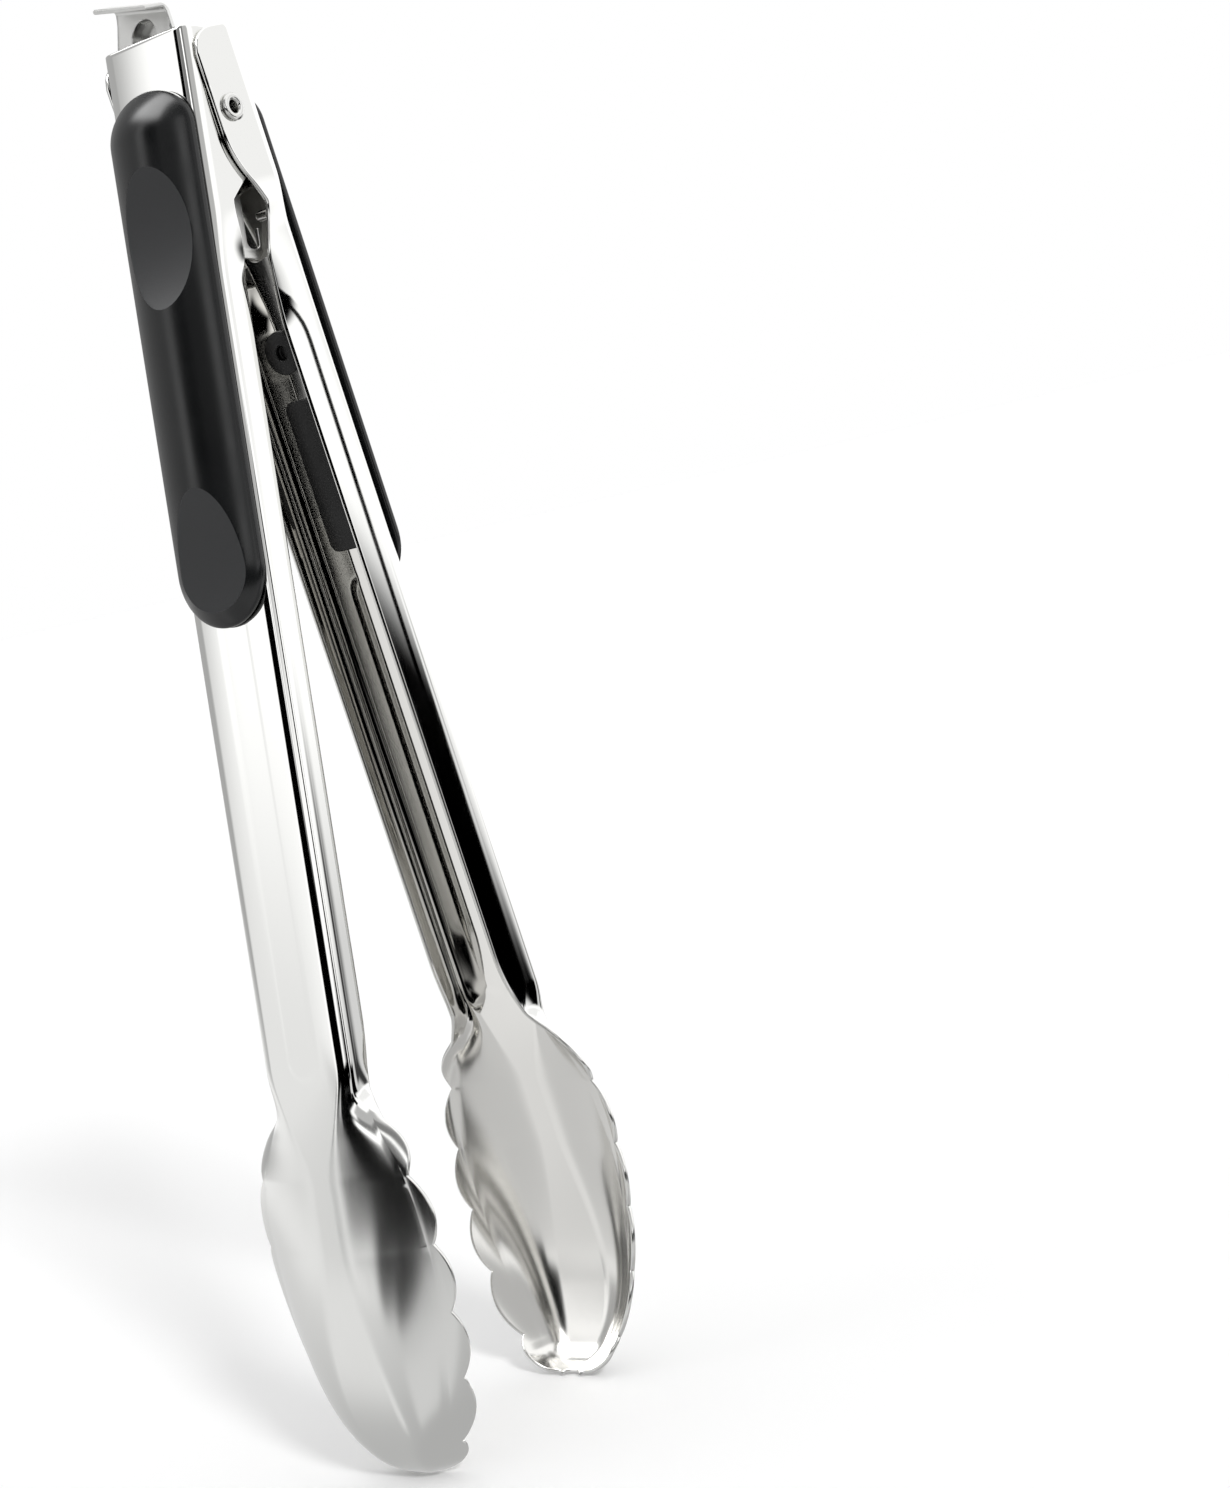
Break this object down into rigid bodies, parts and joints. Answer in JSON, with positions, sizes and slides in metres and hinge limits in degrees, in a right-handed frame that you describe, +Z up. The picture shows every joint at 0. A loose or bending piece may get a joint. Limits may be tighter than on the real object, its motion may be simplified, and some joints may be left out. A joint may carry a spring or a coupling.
{
  "type": "spring loaded kitchen tongs",
  "caption": "Hinged kitchen tongs with channel section steel arms, scalloped spoon heads, a coil spring, a sliding lock tab with a hanging hole and black plastic grips.",
  "frame": {"origin": "centre of the hanging hole in the lock tab", "axes": "+Z up along the line midway between the open arms with the tips pointing down, X is the opening direction with the right arm at +X, +Y is the pivot axis"},
  "size_m": [0.0765, 0.0514, 0.3142],
  "materials": {
    "polished_steel": "polished stainless steel, satin inside the heads",
    "strip_steel": "satin stainless strip",
    "rivet_steel": "plain stainless steel",
    "spring_wire": "drawn spring wire",
    "grip_plastic": "satin black with matte scoops",
    "fixing_plastic": "black moulded plastic"
  },
  "bodies": {
    "left_arm": {"left_arm": "polished_steel", "left_grip": "grip_plastic", "left_grip_stud": "fixing_plastic", "left_grip_plug": "fixing_plastic", "pivot_rivet": "rivet_steel", "torsion_spring": "spring_wire"},
    "right_arm": {"right_arm": "polished_steel", "right_grip": "grip_plastic", "right_grip_stud": "fixing_plastic", "right_grip_plug": "fixing_plastic", "catch_pins": "rivet_steel"},
    "lock_bar": {"lock_bar": "strip_steel"}
  },
  "joints": [
    {"name": "arm_hinge", "type": "hinge", "parent": "left_arm", "child": "right_arm", "pos_m": [0.00504, 0, -0.01843], "axis": [0, 1, 0], "range_deg": [0, 9.7], "stiffness_Nm_per_rad": 1.4, "springref_deg": -5.73, "deforming": ["torsion_spring"]},
    {"name": "lock_slide", "type": "slide", "parent": "left_arm", "child": "lock_bar", "axis": [0.1193, 0, 0.9929], "range_m": [0, 0.0045]}
  ]
}
